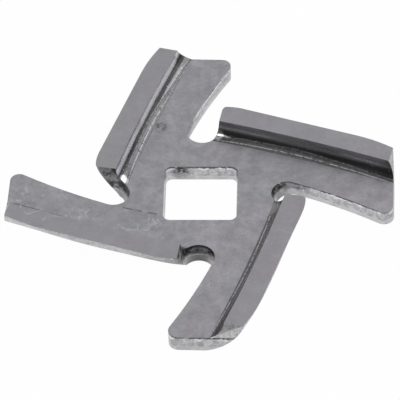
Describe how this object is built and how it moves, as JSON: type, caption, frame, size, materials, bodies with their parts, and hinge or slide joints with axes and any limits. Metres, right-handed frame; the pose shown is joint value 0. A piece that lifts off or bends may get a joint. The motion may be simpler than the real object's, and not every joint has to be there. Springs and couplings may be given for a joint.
{
  "type": "meat grinder knife",
  "caption": "Cross-shaped steel knife for a meat grinder: swept arms with raised flat-ground cutting strips around a square drive hole",
  "frame": {"origin": "on the turning axis, at the flat back of the body", "axes": "+Z along the turning axis, out of the ground cutting faces; +X along one arm"},
  "size_m": [0.0474, 0.0474, 0.0042],
  "materials": {
    "grinder_knife": "satin ground steel, lightly stained"
  },
  "bodies": {
    "root": {"grinder_knife": "grinder_knife"}
  },
  "joints": []
}
